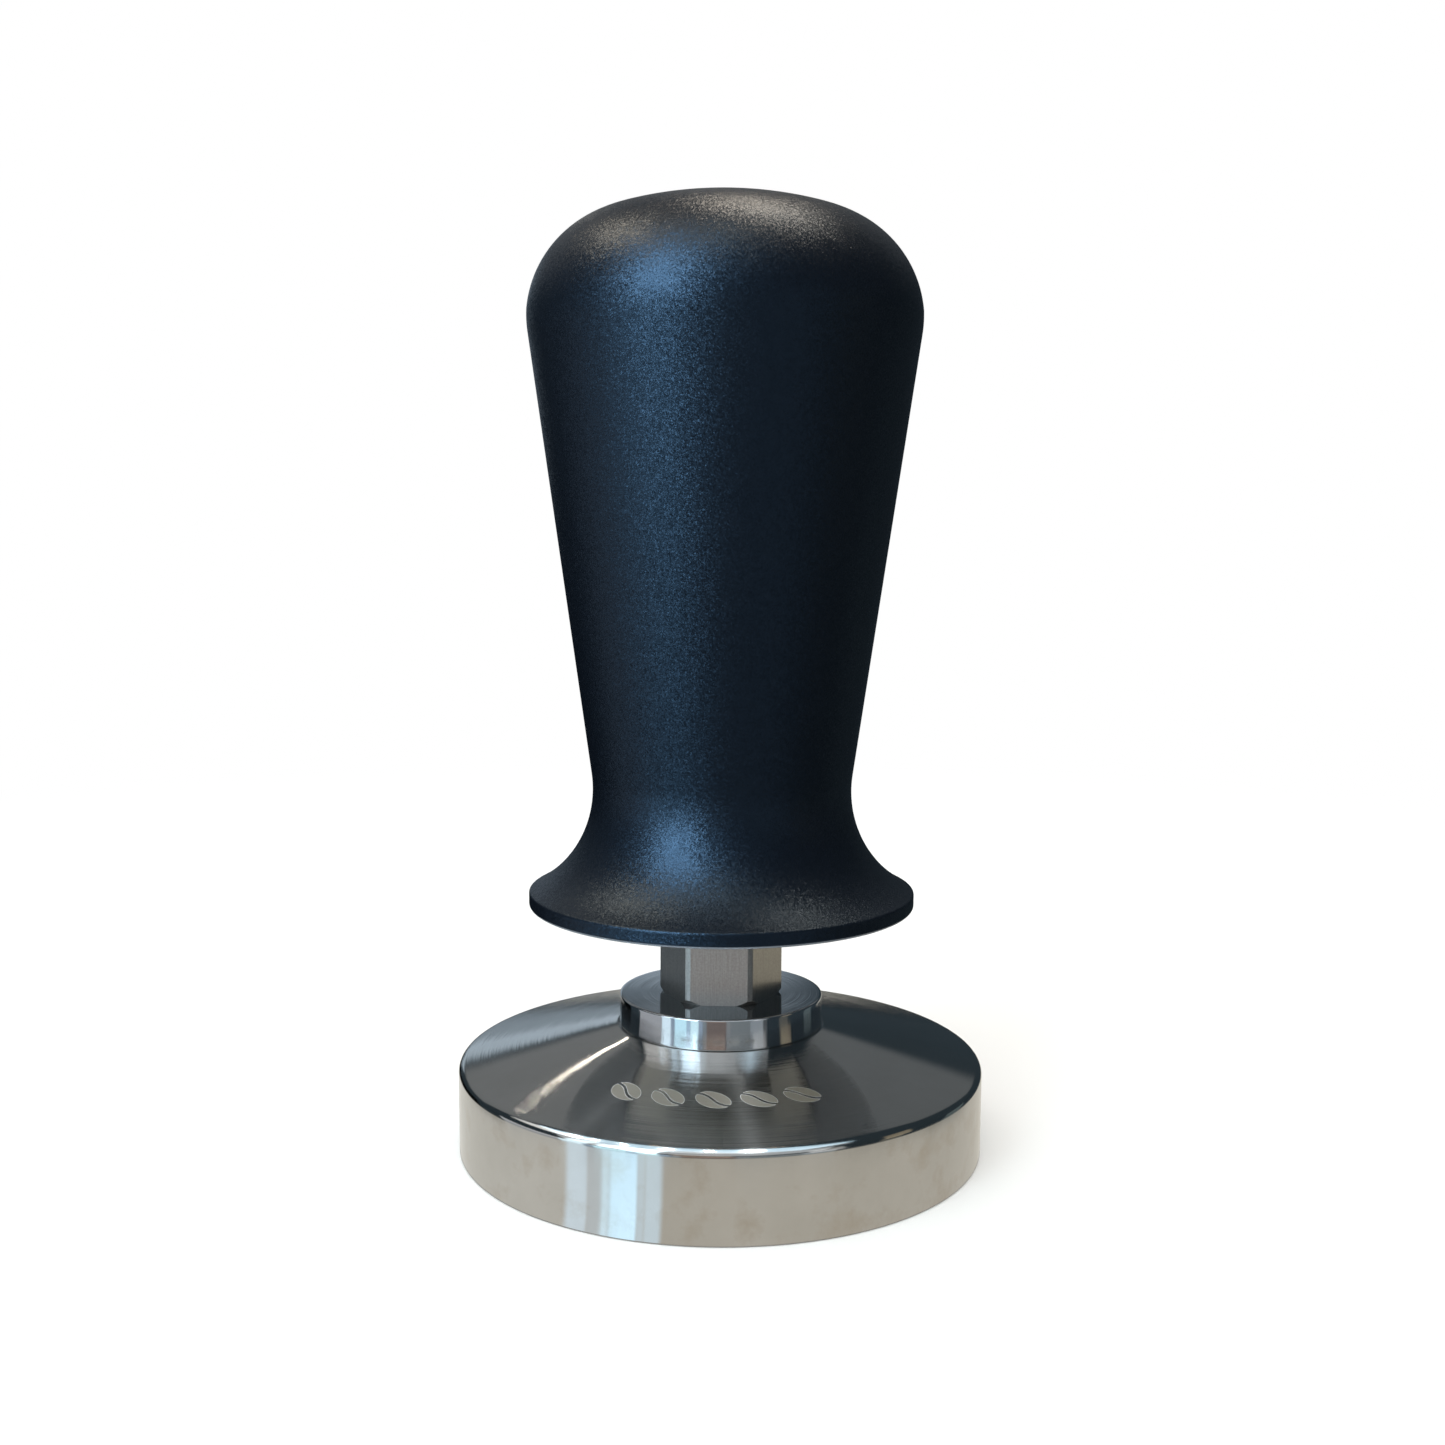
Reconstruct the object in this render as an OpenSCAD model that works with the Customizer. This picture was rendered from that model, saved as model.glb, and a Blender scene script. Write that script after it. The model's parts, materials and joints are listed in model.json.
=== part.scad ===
// Spring-loaded espresso tamper: a steel base on a hexagonal plunger that slides in a hollow handle.
// The base stands on z = 0 and every piece shares the Z axis. Dimensions are in millimetres.

/* [Tamping base] */
// Diameter of the straight side that enters the filter basket
base_d = 58; // [49:0.5:60]
// Height of the straight side
base_side_h = 9.2; // [7:0.1:10]
// Size of the broken edge above the straight side
base_edge = 0.42; // [0.2:0.02:0.6]
// Diameter of the flat landing on top of the cone
landing_d = 23.1; // [22.8:0.1:24]
// Height of the landing above the tamping face
landing_z = 13.45; // [13:0.05:15]

/* [Collar] */
// Diameter of the polished collar
collar_d = 22.5; // [21.5:0.1:22.8]
// Height of the collar
collar_h = 3.4; // [3:0.1:4]

/* [Plunger shaft] */
// Hexagon, across the flats
hex_af = 12; // [11.5:0.1:12.5]
// Diameter that the hexagon's corners are turned down to
hex_corner_d = 13.5; // [13.3:0.1:13.8]
// Gap between collar and handle at rest, which is the working stroke
stroke_gap = 10.15; // [9:0.05:11]

/* [Handle] */
// Overall height of the handle
handle_h = 76; // [75:0.5:80]
// Diameter of the flared foot
foot_d = 42.4; // [40:0.2:46]
// Thickness of the foot's rim
rim_h = 1.6; // [1:0.1:2.5]
// Diameter of the waist above the foot
waist_d = 28.4; // [27.6:0.2:32]
// Height of the waist above the underside
waist_h = 12.8; // [12:0.1:15]
// Largest diameter, where the palm rests
palm_d = 42.2; // [40:0.2:46]
// Height of the largest diameter above the underside
palm_h = 62.75; // [61:0.25:64]
// Radius that rounds the palm into the crown
shoulder_r = 11.8; // [9:0.1:12.2]

/* [Spring] */
// Wire diameter
wire_d = 2.2; // [1.8:0.1:2.3]
// Mean diameter of the coils
coil_d = 17.6; // [17.2:0.1:17.8]
// Length as installed, with the handle up
spring_len = 40; // [38:0.5:41]
// Coils that work, without the closed end coils
active_coils = 9; // [7:1:9]

/* [Hidden] */
$fn = 128;
eps = 0.01;

// Radial clearances
thread_gap = 0.05;
slide_gap = 0.05;
coil_gap = 0.3;

// M8 set screw that joins shaft, collar and base
stud_r = 4;
stud_pitch = 1.25;
stud_depth = 0.65;
stud_z = 5.5;
stud_len = 20;
stud_spare = 1;
stud_socket_af = 4;

// Collar spigot and the O-ring in the collar's underside
spigot_r = 7;
spigot_h = 1.5;
spigot_gap = 0.1;
seal_wire_r = 0.6;
seal_ring_r = 9.2;
seal_groove_w = 1.5;

// Stack on top of the shaft: disc, split washer and M6 cap screw
disc_r = 10;
disc_h = 2.5;
pilot_wall = 1.3;
pilot_h = 2.5;
washer_r = 5.9;
washer_h = 1.6;
screw_r = 3;
screw_pitch = 1;
screw_depth = 0.55;
screw_len = 12;
screw_spare = 0.8;
screw_head_r = 5;
screw_head_h = 6;
screw_socket_af = 5;

// Guide bush, screwed into the handle from below, with its liner and wiper
guide_r = 13;
guide_pitch = 1;
guide_depth = 0.55;
guide_h = 10;
guide_lip_h = 0.6;
guide_lip_r = 7.3;
liner_r = 8.6;
wiper_h = 1.2;
spanner_hole_r = 0.9;
spanner_hole_h = 2;
spanner_ring_r = 10.6;
lock_screw_r = 1.5;
lock_screw_len = 5;
lock_screw_sink = 0.3;
lock_socket_af = 1.5;
bush_seal_wire_r = 0.5;

// Bore of the handle and the pieces that line it
bore_r = 11;
sleeve_wall = 0.6;
sleeve_in_r = bore_r - slide_gap - sleeve_wall;
bumper_h = 1.2;
bumper_r = 10.2;
bumper_hole_r = 7.5;
cap_r = 10.2;
cap_h = 1.5;
cap_hole_r = 3;
thrust_h = 0.8;
shim_h = 0.5;
shim_step = shim_h + 0.02;
shim_count = 2;
shim_hole_r = 6;

// Heights of the stack, from the table up
recess_z = landing_z - spigot_h;
collar_top = landing_z + collar_h;
handle_z = collar_top + stroke_gap;
guide_top = handle_z + guide_h;
hex_top = guide_top + bumper_h;
spring_z = hex_top + disc_h;
spring_top = spring_z + spring_len;
cap_z = spring_top + thrust_h;
shim_z = cap_z + cap_h;
bore_top = shim_z + shim_count * shim_step;
pilot_r = (coil_d - wire_d) / 2 - coil_gap;
screw_head_z = spring_z + washer_h;

// ---- Shared shapes ---------------------------------------------------------------------------

// Half outline of a rod whose thread is drawn as rings. The rings keep to whole pitches above
// z = 0, so a screw and its hole always line up.
function thread_outline(r, depth, pitch, z0, z1) =
    let (root = r - depth)
    concat(
        [[0, z0], [root, z0]],
        [for (k = [ceil(z0 / pitch) : floor(z1 / pitch) - 1]) each [
            [root, (k + 0.10) * pitch], [r, (k + 0.45) * pitch],
            [r, (k + 0.55) * pitch], [root, (k + 0.90) * pitch]]],
        [[root, z1], [0, z1]]);

module threaded_rod(r, depth, pitch, z0, z1) {
    rotate_extrude() polygon(thread_outline(r, depth, pitch, z0, z1));
}

module tube(r_out, r_in, z0, h) {
    translate([0, 0, z0]) difference() {
        cylinder(r = r_out, h = h);
        translate([0, 0, -eps]) cylinder(r = r_in, h = h + 2 * eps);
    }
}

// Hexagonal prism with one flat facing -Y
module hexagon_bar(af, z0, h) {
    translate([0, 0, z0]) cylinder(r = af / 2 / cos(30), h = h, $fn = 6);
}

module o_ring(ring_r, wire_r, z0) {
    rotate_extrude() translate([ring_r, z0 + wire_r]) circle(r = wire_r, $fn = 32);
}

// ---- Base, collar and shaft ------------------------------------------------------------------

module tamping_base() {
    r = base_d / 2;
    foot_edge = 0.2;
    color([0.72, 0.71, 0.69]) difference() {
        rotate_extrude() polygon([
            [0, 0], [r - foot_edge, 0], [r, foot_edge], [r, base_side_h],
            [r - base_edge, base_side_h + base_edge], [landing_d / 2, landing_z], [0, landing_z]]);
        translate([0, 0, recess_z - spigot_gap]) cylinder(r = spigot_r + spigot_gap, h = spigot_h + 1);
        threaded_rod(stud_r + thread_gap, stud_depth, stud_pitch, stud_z - stud_spare, landing_z);
    }
}

module base_stud() {
    socket_h = 4;
    color([0.14, 0.14, 0.15]) difference() {
        threaded_rod(stud_r, stud_depth, stud_pitch, stud_z, stud_z + stud_len);
        hexagon_bar(stud_socket_af, stud_z + stud_len - socket_h, socket_h + 1);
    }
}

module collar_seal() {
    color([0.06, 0.06, 0.06]) o_ring(seal_ring_r, seal_wire_r, landing_z);
}

module stop_collar() {
    r = collar_d / 2;
    edge = 0.2;
    groove_r = seal_ring_r - seal_groove_w / 2;
    color([0.78, 0.79, 0.80]) difference() {
        rotate_extrude() polygon([
            [0, recess_z], [spigot_r - edge, recess_z], [spigot_r, recess_z + edge],
            [spigot_r, landing_z], [r - edge, landing_z], [r, landing_z + edge],
            [r, collar_top - edge], [r - edge, collar_top], [0, collar_top]]);
        translate([0, 0, recess_z - eps])
            cylinder(r = stud_r + 2 * thread_gap, h = collar_top - recess_z + 2 * eps);
        tube(groove_r + seal_groove_w, groove_r, landing_z - 1, 1 + 2 * seal_wire_r);
    }
}

module plunger_shaft() {
    end_chamfer = 0.5;
    corner_r = hex_corner_d / 2;
    end_r = corner_r - 0.45;
    stud_hole_top = stud_z + stud_len + stud_spare;
    screw_hole_z = screw_head_z - screw_len - screw_spare;
    mouth_relief = 0.5;
    color([0.62, 0.61, 0.60]) difference() {
        intersection() {
            hexagon_bar(hex_af, collar_top, hex_top - collar_top);
            rotate_extrude() polygon([
                [0, collar_top], [end_r, collar_top], [corner_r, collar_top + end_chamfer],
                [corner_r, hex_top - end_chamfer], [end_r, hex_top], [0, hex_top]]);
        }
        threaded_rod(stud_r + thread_gap, stud_depth, stud_pitch, collar_top - 1, stud_hole_top);
        threaded_rod(screw_r + thread_gap, screw_depth, screw_pitch, screw_hole_z, hex_top + 1);
        translate([0, 0, hex_top - mouth_relief])
            cylinder(r = screw_r + 2 * slide_gap, h = mouth_relief + 1);
    }
}

module retaining_disc() {
    color([0.55, 0.55, 0.56]) {
        tube(disc_r, screw_r + 2 * slide_gap, hex_top, disc_h);
        tube(pilot_r, pilot_r - pilot_wall, spring_z - eps, pilot_h + eps);
    }
}

// Split washer: a ring with one narrow slanting cut
module lock_washer() {
    cut_w = 0.6;
    color([0.20, 0.20, 0.21]) difference() {
        tube(washer_r, screw_r + 2 * slide_gap, spring_z, washer_h);
        translate([screw_r - 1, -cut_w / 2, spring_z + washer_h / 2]) rotate([35, 0, 0])
            translate([0, 0, -washer_h]) cube([washer_r, cut_w, 2 * washer_h]);
    }
}

module retaining_screw() {
    head_top = screw_head_z + screw_head_h;
    head_edge = 0.5;
    socket_h = 3;
    color([0.12, 0.12, 0.13]) difference() {
        union() {
            rotate_extrude() polygon([
                [0, screw_head_z], [screw_head_r, screw_head_z], [screw_head_r, head_top - head_edge],
                [screw_head_r - head_edge, head_top], [0, head_top]]);
            translate([0, 0, hex_top - eps]) cylinder(r = screw_r, h = screw_head_z - hex_top + 2 * eps);
            threaded_rod(screw_r, screw_depth, screw_pitch, screw_head_z - screw_len, hex_top);
        }
        hexagon_bar(screw_socket_af, head_top - socket_h, socket_h + 1);
    }
}

// ---- Spring and its seats --------------------------------------------------------------------

// Height of the wire's centre after a number of turns: closed coil, working coils, closed coil
function wire_z(turn) =
    let (first = wire_d / 4,
         closed = wire_d + 0.1,
         pitch = (spring_len - 2 * (first + closed)) / active_coils)
    turn < 1 ? first + closed * turn
    : turn < active_coils + 1 ? first + closed + pitch * (turn - 1)
    : spring_len - first - closed * (active_coils + 2 - turn);

// The wire is swept as rings of points. Both ends are ground flat by the limits on z.
module main_spring() {
    sides = 8;
    per_turn = 20;
    last = (active_coils + 2) * per_turn;
    points = [for (i = [0 : last], j = [0 : sides - 1])
        let (turn = i / per_turn,
             angle = 360 * (j + 0.5) / sides,
             r = coil_d / 2 + wire_d / 2 * cos(angle),
             z = wire_z(turn) + wire_d / 2 * sin(angle))
        [r * cos(360 * turn), r * sin(360 * turn), spring_z + max(0, min(spring_len, z))]];
    walls = [for (i = [0 : last - 1], j = [0 : sides - 1])
        let (a = i * sides + j,
             b = i * sides + (j + 1) % sides)
        each [[a, b, b + sides], [a, b + sides, a + sides]]];
    start_cap = [[for (j = [sides - 1 : -1 : 0]) j]];
    end_cap = [[for (j = [0 : sides - 1]) last * sides + j]];
    color([0.50, 0.50, 0.52])
        polyhedron(points = points, faces = concat(start_cap, walls, end_cap), convexity = 20);
}

module thrust_washer() {
    color([0.70, 0.55, 0.28]) tube(cap_r, pilot_r + coil_gap, spring_top, thrust_h);
}

module spring_cap() {
    color([0.55, 0.55, 0.56]) {
        tube(cap_r, cap_hole_r, cap_z, cap_h);
        tube(pilot_r, cap_hole_r, spring_top - pilot_h, pilot_h + thrust_h + eps);
    }
}

module preload_shims() {
    color([0.72, 0.70, 0.62]) for (i = [0 : shim_count - 1])
        tube(cap_r, shim_hole_r, shim_z + i * shim_step, shim_h);
}

// ---- Handle ----------------------------------------------------------------------------------

// Half outline of the handle: flared foot, waist arc that runs straight into the taper, palm,
// shoulder and crown. The arcs stay true circles.
module handle_outline() {
    foot_r = foot_d / 2;
    waist_r = waist_d / 2;
    palm_r = palm_d / 2;
    rim_z = handle_z + rim_h;
    waist_z = handle_z + waist_h;
    palm_z = handle_z + palm_h;
    top_z = handle_z + handle_h;

    // The waist arc has its centre level with the waist and passes through the rim's upper edge
    flare_r = (pow(waist_z - rim_z, 2) + pow(foot_r - waist_r, 2)) / (2 * (foot_r - waist_r));
    flare_x = waist_r + flare_r;
    // The straight taper aims at the palm and leaves the waist arc as its tangent
    reach = norm([palm_r - flare_x, palm_z - waist_z]);
    leave = atan2(palm_z - waist_z, palm_r - flare_x) + acos(flare_r / reach);
    taper_x = flare_x + flare_r * cos(leave);
    taper_z = waist_z + flare_r * sin(leave);

    // The crown meets the shoulder as a tangent and reaches the axis at the top
    shoulder_x = palm_r - shoulder_r;
    rise = top_z - palm_z;
    crown_r = (pow(shoulder_x, 2) + pow(rise, 2) - pow(shoulder_r, 2)) / (2 * (rise - shoulder_r));
    meet = atan2(palm_z - (top_z - crown_r), shoulder_x);
    meet_x = shoulder_x + shoulder_r * cos(meet);

    difference() {
        translate([0, handle_z]) square([foot_r, taper_z - handle_z]);
        translate([flare_x, waist_z]) circle(r = flare_r);
    }
    polygon([[0, taper_z], [taper_x, taper_z], [palm_r, palm_z], [0, palm_z]]);
    intersection() {
        translate([0, palm_z]) square([meet_x, rise + 1]);
        translate([0, top_z - crown_r]) circle(r = crown_r);
    }
    intersection() {
        translate([meet_x, palm_z]) square([palm_r, rise + 1]);
        translate([shoulder_x, palm_z]) circle(r = shoulder_r);
    }
}

// Two grub screws stand on the thread between bush and handle, and keep the bush from turning
module at_lock_screws() {
    for (side = [-1, 1]) translate([side * guide_r, 0, handle_z]) children();
}

module lock_screw_holes() {
    at_lock_screws() translate([0, 0, -1])
        cylinder(r = lock_screw_r + thread_gap, h = 1 + lock_screw_sink + lock_screw_len, $fn = 48);
}

module handle_body() {
    mouth_edge = 0.6;
    color([0.05, 0.055, 0.065]) difference() {
        rotate_extrude() handle_outline();
        translate([0, 0, handle_z]) cylinder(r = bore_r, h = bore_top - handle_z);
        threaded_rod(guide_r + thread_gap, guide_depth, guide_pitch, handle_z - 1, guide_top);
        translate([0, 0, guide_top - eps])
            cylinder(r = guide_r + thread_gap, h = 2 * bush_seal_wire_r + eps);
        translate([0, 0, handle_z - eps])
            cylinder(r1 = guide_r + mouth_edge, r2 = guide_r - guide_depth, h = mouth_edge + guide_depth);
        lock_screw_holes();
    }
}

module bore_sleeve() {
    color([0.88, 0.87, 0.83])
        tube(sleeve_in_r + sleeve_wall, sleeve_in_r, guide_top, bore_top - guide_top);
}

module guide_bush() {
    color([0.66, 0.66, 0.67]) difference() {
        threaded_rod(guide_r, guide_depth, guide_pitch, handle_z, guide_top);
        translate([0, 0, handle_z - 1]) cylinder(r = guide_lip_r, h = guide_h + 2);
        translate([0, 0, handle_z + guide_lip_h]) cylinder(r = liner_r, h = guide_h);
        lock_screw_holes();
        for (side = [-1, 1]) translate([0, side * spanner_ring_r, handle_z - 1])
            cylinder(r = spanner_hole_r, h = 1 + spanner_hole_h, $fn = 48);
    }
}

// Ring that fills the bush and fits round the hexagon
module hexagon_ring(z0, h) {
    difference() {
        translate([0, 0, z0]) cylinder(r = liner_r, h = h);
        hexagon_bar(hex_af + 2 * slide_gap, z0 - 1, h + 2);
    }
}

module guide_liner() {
    color([0.90, 0.89, 0.85])
        hexagon_ring(handle_z + guide_lip_h + wiper_h, guide_h - guide_lip_h - wiper_h);
}

module guide_wiper() {
    color([0.12, 0.12, 0.12]) hexagon_ring(handle_z + guide_lip_h, wiper_h);
}

module guide_lock_screws() {
    socket_h = 1.6;
    color([0.12, 0.12, 0.13]) at_lock_screws() translate([0, 0, lock_screw_sink]) difference() {
        cylinder(r = lock_screw_r, h = lock_screw_len, $fn = 48);
        hexagon_bar(lock_socket_af, -1, 1 + socket_h);
    }
}

module bush_seal() {
    color([0.06, 0.06, 0.06]) o_ring(guide_r - bush_seal_wire_r, bush_seal_wire_r, guide_top);
}

module return_bumper() {
    color([0.10, 0.10, 0.10]) tube(bumper_r, bumper_hole_r, guide_top, bumper_h);
}

tamping_base();
base_stud();
collar_seal();
stop_collar();
plunger_shaft();
retaining_disc();
lock_washer();
retaining_screw();
main_spring();
thrust_washer();
spring_cap();
preload_shims();
handle_body();
bore_sleeve();
guide_bush();
guide_liner();
guide_wiper();
guide_lock_screws();
bush_seal();
return_bumper();
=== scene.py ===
"""Looks of a spring-loaded espresso tamper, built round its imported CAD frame. Metres, +Z up."""
import json
import math

import bpy
from mathutils import Matrix, Vector


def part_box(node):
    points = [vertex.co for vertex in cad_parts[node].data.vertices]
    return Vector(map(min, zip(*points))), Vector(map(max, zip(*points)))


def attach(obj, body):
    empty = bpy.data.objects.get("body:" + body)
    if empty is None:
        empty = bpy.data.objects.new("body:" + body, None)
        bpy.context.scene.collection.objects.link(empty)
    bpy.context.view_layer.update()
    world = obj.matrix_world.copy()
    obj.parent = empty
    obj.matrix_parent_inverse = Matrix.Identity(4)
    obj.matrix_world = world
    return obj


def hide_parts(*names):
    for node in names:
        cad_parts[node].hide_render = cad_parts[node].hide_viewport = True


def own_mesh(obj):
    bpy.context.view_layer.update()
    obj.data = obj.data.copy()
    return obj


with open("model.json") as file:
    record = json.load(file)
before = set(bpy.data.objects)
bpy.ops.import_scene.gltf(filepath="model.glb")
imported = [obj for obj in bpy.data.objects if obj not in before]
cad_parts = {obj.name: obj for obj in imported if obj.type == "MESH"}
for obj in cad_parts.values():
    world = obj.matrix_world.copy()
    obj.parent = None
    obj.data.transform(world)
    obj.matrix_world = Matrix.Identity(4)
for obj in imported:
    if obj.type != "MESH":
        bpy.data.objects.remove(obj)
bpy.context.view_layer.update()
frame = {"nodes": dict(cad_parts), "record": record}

MM = 0.001
SEGMENTS = 256    # round each turned piece


# ---- Camera --------------------------------------------------------------------------------------

CAMERA_DISTANCE = 176.3 * MM   # from the tamper's axis, level
CAMERA_HEIGHT = 67.5 * MM
CAMERA_AZIMUTH = 2.0           # degrees to the right of a flat of the hexagon
CAMERA_PITCH = -6.63           # degrees, looking slightly down
CAMERA_ROLL = 0.37             # degrees, the hand-held lean of the view
LENS = 40.33                   # mm on a 36 mm sensor


def make_camera():
    data = bpy.data.cameras.new("camera")
    data.sensor_width = 36
    data.lens = LENS
    data.clip_start = 0.01
    data.clip_end = 50
    camera = bpy.data.objects.new("camera", data)
    bpy.context.scene.collection.objects.link(camera)
    turn = Matrix.Rotation(math.radians(CAMERA_AZIMUTH), 4, "Z")
    place = Matrix.Translation((0, -CAMERA_DISTANCE, CAMERA_HEIGHT))
    pitch = Matrix.Rotation(math.radians(90 + CAMERA_PITCH), 4, "X")
    roll = Matrix.Rotation(math.radians(CAMERA_ROLL), 4, "Z")
    camera.matrix_world = turn @ place @ pitch @ roll
    bpy.context.scene.camera = camera


make_camera()


# ---- Outlines and meshes -------------------------------------------------------------------------

def arc(centre_r, centre_z, radius, start, end, steps):
    """Points of an arc in the plane of radius and height. Degrees, with 0 pointing outwards."""
    angles = [math.radians(start + (end - start) * i / steps) for i in range(steps + 1)]
    return [(centre_r + radius * math.cos(a), centre_z + radius * math.sin(a)) for a in angles]


def rounded(corners, steps=5, hold=0.12 * MM):
    """An outline from (radius, height, fillet) corners. Each fillet is an arc, and a point held just
    outside each end of it keeps the shading of the long faces flat."""
    outline = []
    for i, (r, z, fillet) in enumerate(corners):
        if not fillet:
            outline.append((r, z))
            continue
        corner = Vector((r, z))
        back = (Vector(corners[i - 1][:2]) - corner).normalized()
        ahead = (Vector(corners[(i + 1) % len(corners)][:2]) - corner).normalized()
        half = back.angle(ahead) / 2
        reach = fillet / math.tan(half)
        centre = corner + (back + ahead).normalized() * fillet / math.sin(half)
        start = corner + back * reach - centre
        turn = start.angle_signed(corner + ahead * reach - centre)
        outline.append(tuple(corner + back * (reach + hold)))
        for k in range(steps + 1):
            outline.append(tuple(centre + Matrix.Rotation(-turn * k / steps, 2) @ start))
        outline.append(tuple(corner + ahead * (reach + hold)))
    return outline


def make_mesh(name, points, faces, sharp):
    """A new object from points and faces, smooth except across edges over the sharp angle."""
    mesh = bpy.data.meshes.new(name)
    mesh.from_pydata(points, [], faces)
    mesh.validate()
    mesh.shade_smooth()
    mesh.set_sharp_from_angle(angle=math.radians(sharp))
    piece = bpy.data.objects.new(name, mesh)
    bpy.context.scene.collection.objects.link(piece)
    return piece


def lathe(name, outline, ring=False):
    """Turns an outline of (radius, height) points about Z. It runs from the axis to the axis, or is
    a closed ring."""
    points, rows = [], []
    for r, z in outline:
        if r < 1e-7:
            rows.append([len(points)] * SEGMENTS)
            points.append((0, 0, z))
            continue
        rows.append(list(range(len(points), len(points) + SEGMENTS)))
        for k in range(SEGMENTS):
            angle = math.tau * k / SEGMENTS
            points.append((r * math.cos(angle), r * math.sin(angle), z))
    pairs = list(zip(rows, rows[1:]))
    if ring:
        pairs.append((rows[-1], rows[0]))
    faces = []
    for lower, upper in pairs:
        for k in range(SEGMENTS):
            n = (k + 1) % SEGMENTS
            loop = [lower[k], lower[n], upper[n], upper[k]]
            faces.append(list(dict.fromkeys(loop)))
    return make_mesh(name, points, [f for f in faces if len(f) > 2], sharp=30)


# ---- Material kit --------------------------------------------------------------------------------

class Nodes:
    """A node tree being built, with short names for the nodes used most."""

    def __init__(self, tree):
        self.tree = tree

    def add(self, kind, **settings):
        made = self.tree.nodes.new(kind)
        for key, value in settings.items():
            setattr(made, key, value)
        return made

    def put(self, socket, value):
        """Links an output to a socket, or sets the socket to a plain value."""
        if isinstance(value, bpy.types.NodeSocket):
            self.tree.links.new(value, socket)
        else:
            socket.default_value = value

    def math(self, operation, a, b=0.0, c=0.0):
        made = self.add("ShaderNodeMath", operation=operation)
        for socket, value in zip(made.inputs, (a, b, c)):
            self.put(socket, value)
        return made.outputs[0]

    def vector(self, operation, a, b=(0, 0, 0)):
        made = self.add("ShaderNodeVectorMath", operation=operation)
        self.put(made.inputs[0], a)
        self.put(made.inputs[1], b)
        return made.outputs["Vector"]

    def parts(self, value):
        """The x, y and z of a vector."""
        split = self.add("ShaderNodeSeparateXYZ")
        self.put(split.inputs[0], value)
        return split.outputs

    def join(self, x, y, z):
        made = self.add("ShaderNodeCombineXYZ")
        for socket, value in zip(made.inputs, (x, y, z)):
            self.put(socket, value)
        return made.outputs[0]

    def length(self, x, y):
        return self.math("SQRT", self.math("ADD", self.math("MULTIPLY", x, x), self.math("MULTIPLY", y, y)))

    def noise(self, vector, scale, detail, roughness):
        made = self.add("ShaderNodeTexNoise")
        self.put(made.inputs["Vector"], vector)
        made.inputs["Scale"].default_value = scale
        made.inputs["Detail"].default_value = detail
        made.inputs["Roughness"].default_value = roughness
        return made.outputs["Fac"]

    def span(self, value, low, high, to_low=0.0, to_high=1.0, smooth=False):
        """value, from low to high, mapped to to_low to to_high."""
        made = self.add("ShaderNodeMapRange", interpolation_type="SMOOTHSTEP" if smooth else "LINEAR")
        self.put(made.inputs["Value"], value)
        for key, number in zip(("From Min", "From Max", "To Min", "To Max"), (low, high, to_low, to_high)):
            made.inputs[key].default_value = number
        return made.outputs["Result"]

    def blend(self, factor, first, second, kind="MIX"):
        """A colour between two colours, each an RGB triple or an output."""
        made = self.add("ShaderNodeMix", data_type="RGBA", blend_type=kind)
        self.put(made.inputs["Factor"], factor)
        for socket, colour in (("A", first), ("B", second)):
            target = [s for s in made.inputs if s.name == socket and s.type == "RGBA"][0]
            self.put(target, (*colour, 1) if isinstance(colour, tuple) else colour)
        return [s for s in made.outputs if s.type == "RGBA"][0]


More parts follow.
